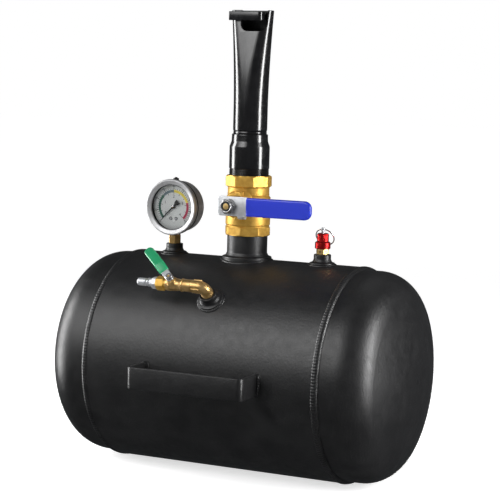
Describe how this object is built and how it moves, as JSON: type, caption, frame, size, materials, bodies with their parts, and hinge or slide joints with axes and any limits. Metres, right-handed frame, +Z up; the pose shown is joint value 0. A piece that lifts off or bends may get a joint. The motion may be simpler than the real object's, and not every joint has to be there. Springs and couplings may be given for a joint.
{
  "type": "tyre bead seater tank",
  "caption": "Portable tyre bead seater: domed steel air tank with carry handle, quick-opening ball valve and flattened blast barrel, gauge, relief valve and air inlet.",
  "frame": {"origin": "on the floor under the middle of the tank, where its two seam welds rest", "axes": "+Z up, along the blast barrel; +X along the tank's axis, towards the relief valve; the carry handle and gauge face -Y"},
  "size_m": [0.45, 0.2963, 0.5508],
  "materials": {
    "satin_black": "satin powder coat with fine orange peel",
    "gloss_black": "gloss black enamel",
    "brass": "bright machined and cast brass",
    "chromed": "polished chrome plate",
    "zinc_steel": "zinc plated steel",
    "stainless": "brushed stainless steel",
    "ptfe": "white sealing plastic",
    "black_rubber": "black rubber",
    "lens_glass": "clear lens",
    "dial_enamel": "pale grey printed dial",
    "needle_black": "black painted pointer",
    "blue_vinyl": "blue dipped vinyl",
    "green_vinyl": "green dipped vinyl",
    "red_anodised": "red anodised aluminium"
  },
  "bodies": {
    "tank": {"tank_shell": "satin_black", "left_head": "satin_black", "right_head": "satin_black", "left_head_weld": "satin_black", "right_head_weld": "satin_black", "outlet_port": "satin_black", "gauge_port": "satin_black", "relief_port": "satin_black", "inlet_port": "satin_black", "port_welds": "satin_black", "carry_handle": "satin_black", "handle_welds": "satin_black", "valve_body": "brass", "valve_end_cap": "brass", "lower_seat": "ptfe", "upper_seat": "ptfe", "stem_packing": "ptfe", "gland_nut": "brass", "barrel_adapter": "gloss_black", "barrel_weld": "gloss_black", "barrel_tube": "gloss_black", "rim_hook": "gloss_black", "gauge_case": "stainless", "gauge_bezel": "stainless", "gauge_lens": "lens_glass", "lens_gasket": "black_rubber", "gauge_dial": "dial_enamel", "dial_screws": "zinc_steel", "movement_plates": "brass", "bourdon_tube": "brass", "gauge_socket": "brass", "gauge_fill_plug": "black_rubber", "relief_body": "brass", "relief_cap": "red_anodised", "relief_spring": "zinc_steel", "inlet_elbow": "brass", "inlet_valve_body": "brass", "inlet_valve_end": "brass", "inlet_seats": "ptfe", "inlet_gland_nut": "brass", "air_plug": "zinc_steel"},
    "main_lever": {"valve_ball": "chromed", "valve_stem": "brass", "valve_lever": "zinc_steel", "lever_sleeve": "blue_vinyl", "lever_nut": "zinc_steel"},
    "small_lever": {"inlet_ball": "chromed", "inlet_stem": "brass", "inlet_lever": "zinc_steel", "inlet_sleeve": "green_vinyl", "inlet_lever_nut": "zinc_steel"},
    "pointer": {"gauge_needle": "needle_black", "pinion_shaft": "brass"},
    "sector": {"sector_gear": "brass"},
    "link": {"movement_link": "brass"},
    "relief_plunger": {"relief_stem": "brass", "relief_seal": "black_rubber"},
    "pull_ring": {"pull_ring": "zinc_steel"}
  },
  "joints": [
    {"name": "main_lever_turn", "type": "hinge", "parent": "tank", "child": "main_lever", "pos_m": [0, 0, 0.3213], "axis": [0, -1, 0], "range_deg": [0, 90]},
    {"name": "small_lever_turn", "type": "hinge", "parent": "tank", "child": "small_lever", "pos_m": [-0.039, -0.11117, 0.23196], "axis": [0, -0.7314, 0.682], "range_deg": [-50, 40]},
    {"name": "pointer_turn", "type": "hinge", "parent": "tank", "child": "pointer", "pos_m": [-0.099, 0, 0.3119], "axis": [0, 1, 0], "range_deg": [0, 270]},
    {"name": "sector_turn", "type": "hinge", "parent": "tank", "child": "sector", "pos_m": [-0.099, 0, 0.29606], "axis": [0, 1, 0], "range_deg": [-27, 0], "stiffness_Nm_per_rad": 0.04, "springref_deg": 3.44},
    {"name": "link_turn", "type": "hinge", "parent": "sector", "child": "link", "pos_m": [-0.0943, 0, 0.29435], "axis": [0, 1, 0], "range_deg": [0, 27]},
    {"name": "relief_lift", "type": "slide", "parent": "tank", "child": "relief_plunger", "axis": [0, 0, 1], "range_m": [0, 0.003], "stiffness_N_per_m": 3000, "springref_m": -0.005, "deforming": ["relief_spring"]},
    {"name": "pull_ring_swing", "type": "hinge", "parent": "relief_plunger", "child": "pull_ring", "pos_m": [0.099, 0, 0.2967], "axis": [1, 0, 0], "range_deg": [0, 294]}
  ],
  "couplings": [
    {"joint": "pointer_turn", "follows": "sector_turn", "ratio": -10},
    {"joint": "link_turn", "follows": "sector_turn", "ratio": -1}
  ]
}
